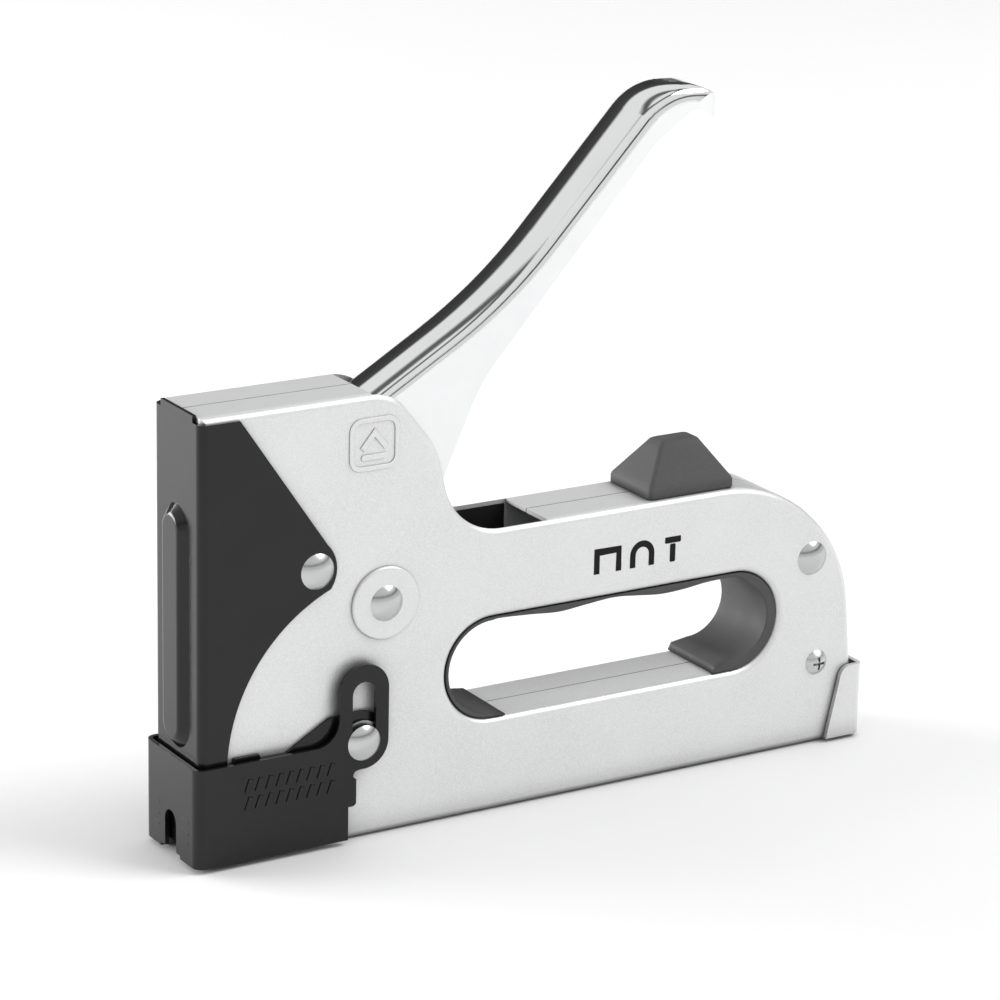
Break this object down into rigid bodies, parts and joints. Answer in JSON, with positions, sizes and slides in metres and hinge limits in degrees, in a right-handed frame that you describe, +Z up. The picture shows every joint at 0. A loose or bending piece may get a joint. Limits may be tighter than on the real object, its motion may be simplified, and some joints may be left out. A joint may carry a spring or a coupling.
{
  "type": "staple gun",
  "caption": "Hand staple gun with a chrome squeeze lever, sprung striker, pull-out staple pusher, padded grip opening and a sliding wire attachment on the nose.",
  "frame": {"origin": "middle of the flat underside, on the magazine floor 4 mm behind the driver blade, where the tool rests on the work", "axes": "+X from the nose back to the heel, +Z up from the work towards the head, +Y across the tool to its right-hand side"},
  "size_m": [0.1821, 0.0288, 0.1647],
  "materials": {
    "silver_shell": "satin silver paint with a fine grain on pressed steel",
    "black_enamel": "smooth semi-gloss black enamel",
    "chrome_plate": "bright chrome plate",
    "grey_rubber": "matt dark grey rubber",
    "plain_steel": "plain oiled steel",
    "spring_steel": "drawn spring wire",
    "staple_wire": "galvanised staple wire",
    "zinc_plate": "bright zinc plate"
  },
  "bodies": {
    "frame": {"left_shell": "silver_shell", "right_shell": "silver_shell", "nose_channel": "black_enamel", "pivot_rivet": "chrome_plate", "nose_rivets": "chrome_plate", "attachment_pin": "chrome_plate", "pin_washers": "plain_steel", "rear_rivet": "chrome_plate", "rear_spacer": "plain_steel", "rear_screw": "zinc_plate", "rear_nut": "zinc_plate", "main_spring": "spring_steel", "spring_cap": "plain_steel", "driver_guide": "plain_steel", "striker_buffer": "grey_rubber", "magazine_channel": "zinc_plate", "staple_rail": "zinc_plate", "staple_strip": "staple_wire", "grip_liner": "grey_rubber", "bumper": "grey_rubber"},
    "lever": {"lever_handle": "chrome_plate", "lift_arm": "plain_steel", "lever_cross_pin": "plain_steel", "lever_bushes": "plain_steel", "return_spring": "spring_steel"},
    "striker": {"driver_blade": "plain_steel", "striker_block": "plain_steel", "blade_rivets": "plain_steel"},
    "attachment": {"wire_attachment": "black_enamel"},
    "pusher": {"rear_bracket": "silver_shell", "pusher_plug": "zinc_plate", "guide_rod": "plain_steel", "follower_spring": "spring_steel"},
    "follower": {"follower": "zinc_plate"}
  },
  "joints": [
    {"name": "lever_pivot", "type": "hinge", "parent": "frame", "child": "lever", "pos_m": [0.0407, 0, 0.0556], "axis": [0, 1, 0], "range_deg": [0, 42], "stiffness_Nm_per_rad": 0.5, "springref_deg": -22.92},
    {"name": "striker_lift", "type": "slide", "parent": "frame", "child": "striker", "axis": [0, 0, 1], "range_m": [0, 0.0237], "stiffness_N_per_m": 800, "springref_m": -0.01, "deforming": ["main_spring"]},
    {"name": "attachment_slide", "type": "slide", "parent": "frame", "child": "attachment", "axis": [0, 0, 1], "range_m": [-0.0115, 0]},
    {"name": "pusher_pull", "type": "slide", "parent": "frame", "child": "pusher", "axis": [1, 0, 0], "range_m": [0, 0.1]},
    {"name": "follower_slide", "type": "slide", "parent": "pusher", "child": "follower", "axis": [1, 0, 0], "range_m": [0, 0.06], "stiffness_N_per_m": 60, "springref_m": -0.08, "deforming": ["follower_spring"]}
  ],
  "couplings": [
    {"joint": "striker_lift", "follows": "lever_pivot", "m_per_rad": 0.03227}
  ]
}
